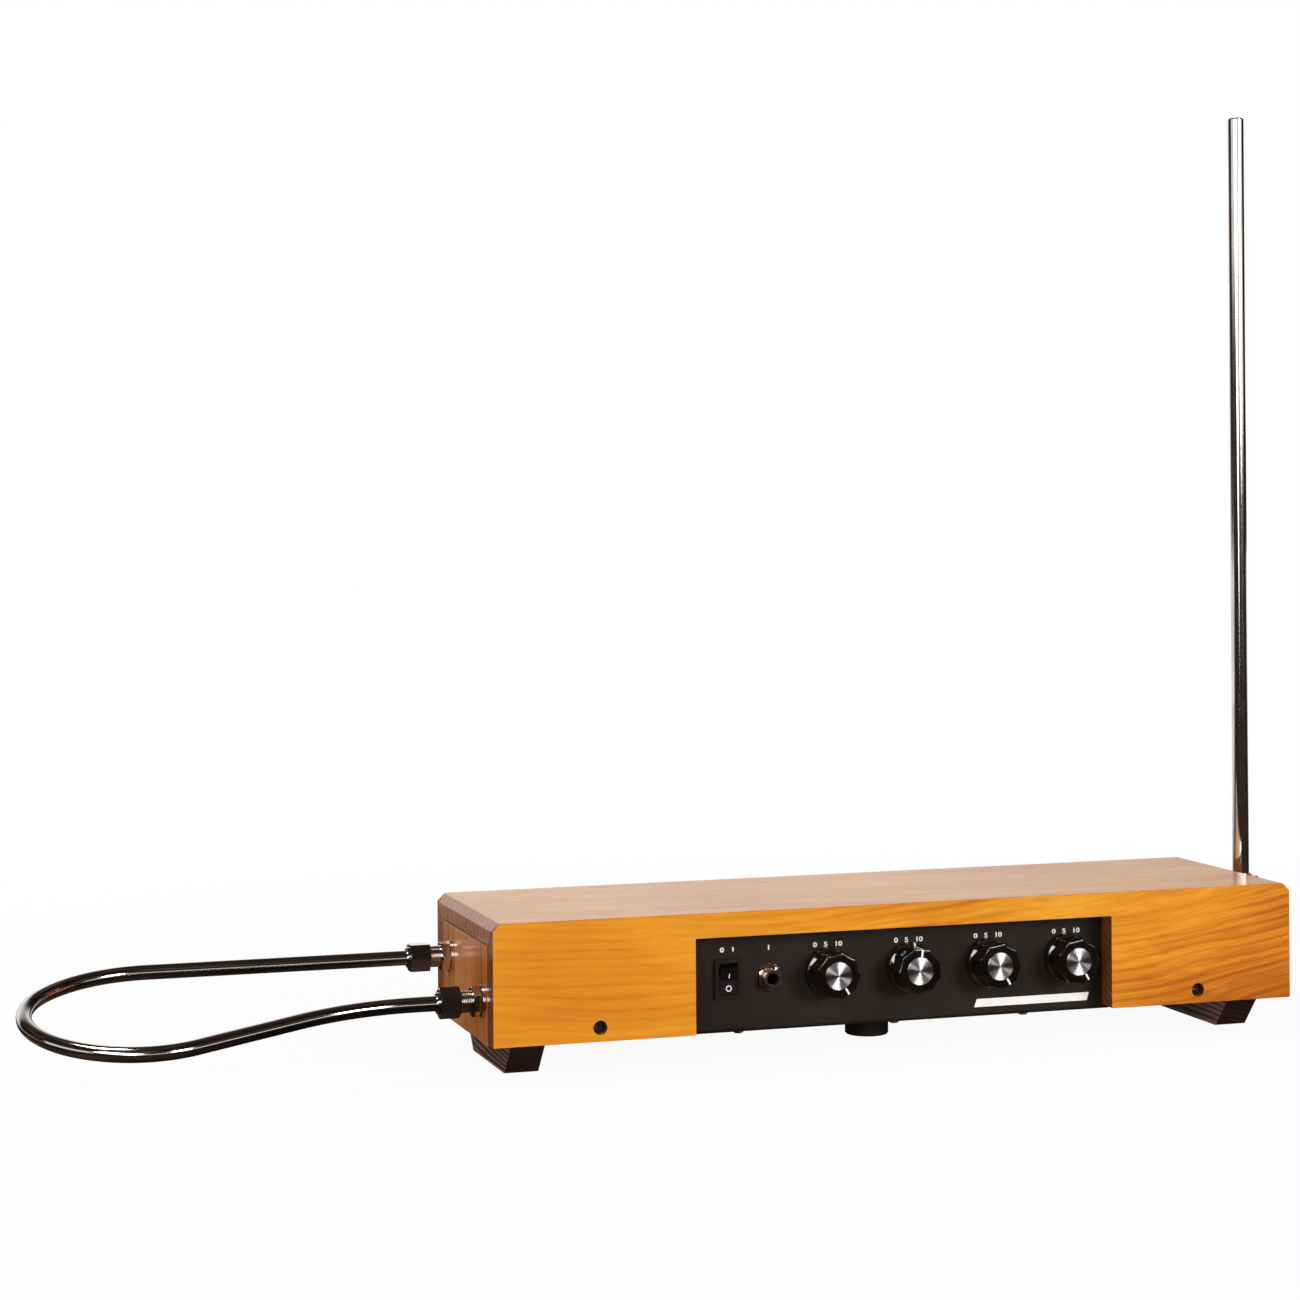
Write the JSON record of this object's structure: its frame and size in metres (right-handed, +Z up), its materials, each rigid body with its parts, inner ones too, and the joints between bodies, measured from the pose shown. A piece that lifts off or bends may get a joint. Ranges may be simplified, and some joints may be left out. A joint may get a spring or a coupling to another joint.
{
  "type": "theremin",
  "caption": "Theremin in a honey-brown wooden cabinet: looped volume antenna on the left, upright pitch rod on the right, recessed black panel with knobs, switch and jack.",
  "frame": {"origin": "centre of the stand socket's mouth, under the middle of the cabinet", "axes": "+X along the cabinet, to the right when facing the panel; +Y from the panel to the back; +Z up"},
  "size_m": [0.722, 0.1507, 0.52],
  "materials": {
    "honey_wood": "oiled, satin, grain along the cabinet",
    "end_wood": "stained, satin",
    "base_wood": "unfinished plywood",
    "dark_wood": "dark stain, satin",
    "black_screws": "black oxide, satin",
    "black_paint": "fine satin powder coat",
    "zinc_steel": "zinc plated, satin",
    "switch_plastic": "fine matt",
    "nickel": "polished plating",
    "board_green": "solder resist",
    "chip_black": "moulded, matt",
    "capacitor_blue": "printed sleeve",
    "copper_wire": "enamelled winding",
    "red_lead": "flexible insulation",
    "brass": "turned",
    "knob_black": "moulded, glossy",
    "turned_aluminium": "spun, concentric turning marks"
  },
  "bodies": {
    "cabinet": {"top_board": "honey_wood", "front_board": "honey_wood", "back_board": "honey_wood", "left_end_panel": "end_wood", "right_end_panel": "end_wood", "base_board": "base_wood", "left_foot": "dark_wood", "right_foot": "dark_wood", "cover_screws": "black_screws", "foot_screws": "black_screws", "control_panel": "black_paint", "panel_screws": "zinc_steel", "switch_housing": "switch_plastic", "output_jack": "nickel", "output_jack_nut": "nickel", "volume_pot": "zinc_steel", "pitch_pot": "zinc_steel", "waveform_pot": "zinc_steel", "brightness_pot": "zinc_steel", "pot_nuts": "zinc_steel", "main_board": "board_green", "board_standoffs": "zinc_steel", "board_screws": "zinc_steel", "board_chips": "chip_black", "tuning_coils": "zinc_steel", "board_capacitors": "capacitor_blue", "pitch_coils": "copper_wire", "volume_coils": "copper_wire", "coil_brackets": "zinc_steel", "antenna_leads": "red_lead", "stand_flange": "black_paint", "flange_screws": "zinc_steel", "loop_back_fitting": "nickel", "loop_front_fitting": "nickel", "pitch_elbow": "nickel", "fitting_washers": "zinc_steel", "fitting_inner_nuts": "zinc_steel", "inlet_bracket": "black_paint", "power_inlet": "switch_plastic"},
    "loop": {"volume_loop": "nickel", "loop_ferrules": "brass"},
    "back_nut": {"loop_back_nut": "nickel"},
    "front_nut": {"loop_front_nut": "nickel"},
    "antenna": {"pitch_antenna": "nickel", "pitch_ferrule": "brass"},
    "antenna_nut": {"pitch_nut": "nickel"},
    "rocker": {"power_rocker": "switch_plastic"},
    "volume_control": {"volume_knob": "knob_black", "volume_inlay": "turned_aluminium", "volume_shaft": "zinc_steel"},
    "pitch_control": {"pitch_knob": "knob_black", "pitch_inlay": "turned_aluminium", "pitch_shaft": "zinc_steel"},
    "waveform_control": {"waveform_knob": "knob_black", "waveform_inlay": "turned_aluminium", "waveform_shaft": "zinc_steel"},
    "brightness_control": {"brightness_knob": "knob_black", "brightness_inlay": "turned_aluminium", "brightness_shaft": "zinc_steel"}
  },
  "joints": [
    {"name": "loop_pull", "type": "slide", "parent": "cabinet", "child": "loop", "axis": [-1, 0, 0], "range_m": [0, 0.018]},
    {"name": "back_nut_turn", "type": "hinge", "parent": "loop", "child": "back_nut", "pos_m": [-0.2286, 0.0296, 0.0508], "axis": [-1, 0, 0], "continuous": true},
    {"name": "front_nut_turn", "type": "hinge", "parent": "loop", "child": "front_nut", "pos_m": [-0.2286, -0.0404, 0.0378], "axis": [-1, 0, 0], "continuous": true},
    {"name": "antenna_pull", "type": "slide", "parent": "cabinet", "child": "antenna", "axis": [0, 0, 1], "range_m": [0, 0.018]},
    {"name": "antenna_nut_turn", "type": "hinge", "parent": "antenna", "child": "antenna_nut", "pos_m": [0.2486, 0.0296, 0.0618], "axis": [0, 0, 1], "continuous": true},
    {"name": "power_switch", "type": "hinge", "parent": "cabinet", "child": "rocker", "pos_m": [-0.0971, -0.046, 0.0429], "axis": [1, 0, 0], "range_deg": [-22, 0]},
    {"name": "volume_turn", "type": "hinge", "parent": "cabinet", "child": "volume_control", "pos_m": [-0.0405, -0.0472, 0.0436], "axis": [0, 1, 0], "range_deg": [-300, 0]},
    {"name": "pitch_turn", "type": "hinge", "parent": "cabinet", "child": "pitch_control", "pos_m": [0.006, -0.0472, 0.0436], "axis": [0, 1, 0], "range_deg": [-157, 143]},
    {"name": "waveform_turn", "type": "hinge", "parent": "cabinet", "child": "waveform_control", "pos_m": [0.0525, -0.0472, 0.0436], "axis": [0, 1, 0], "range_deg": [-300, 0]},
    {"name": "brightness_turn", "type": "hinge", "parent": "cabinet", "child": "brightness_control", "pos_m": [0.099, -0.0472, 0.0436], "axis": [0, 1, 0], "range_deg": [-300, 0]}
  ]
}
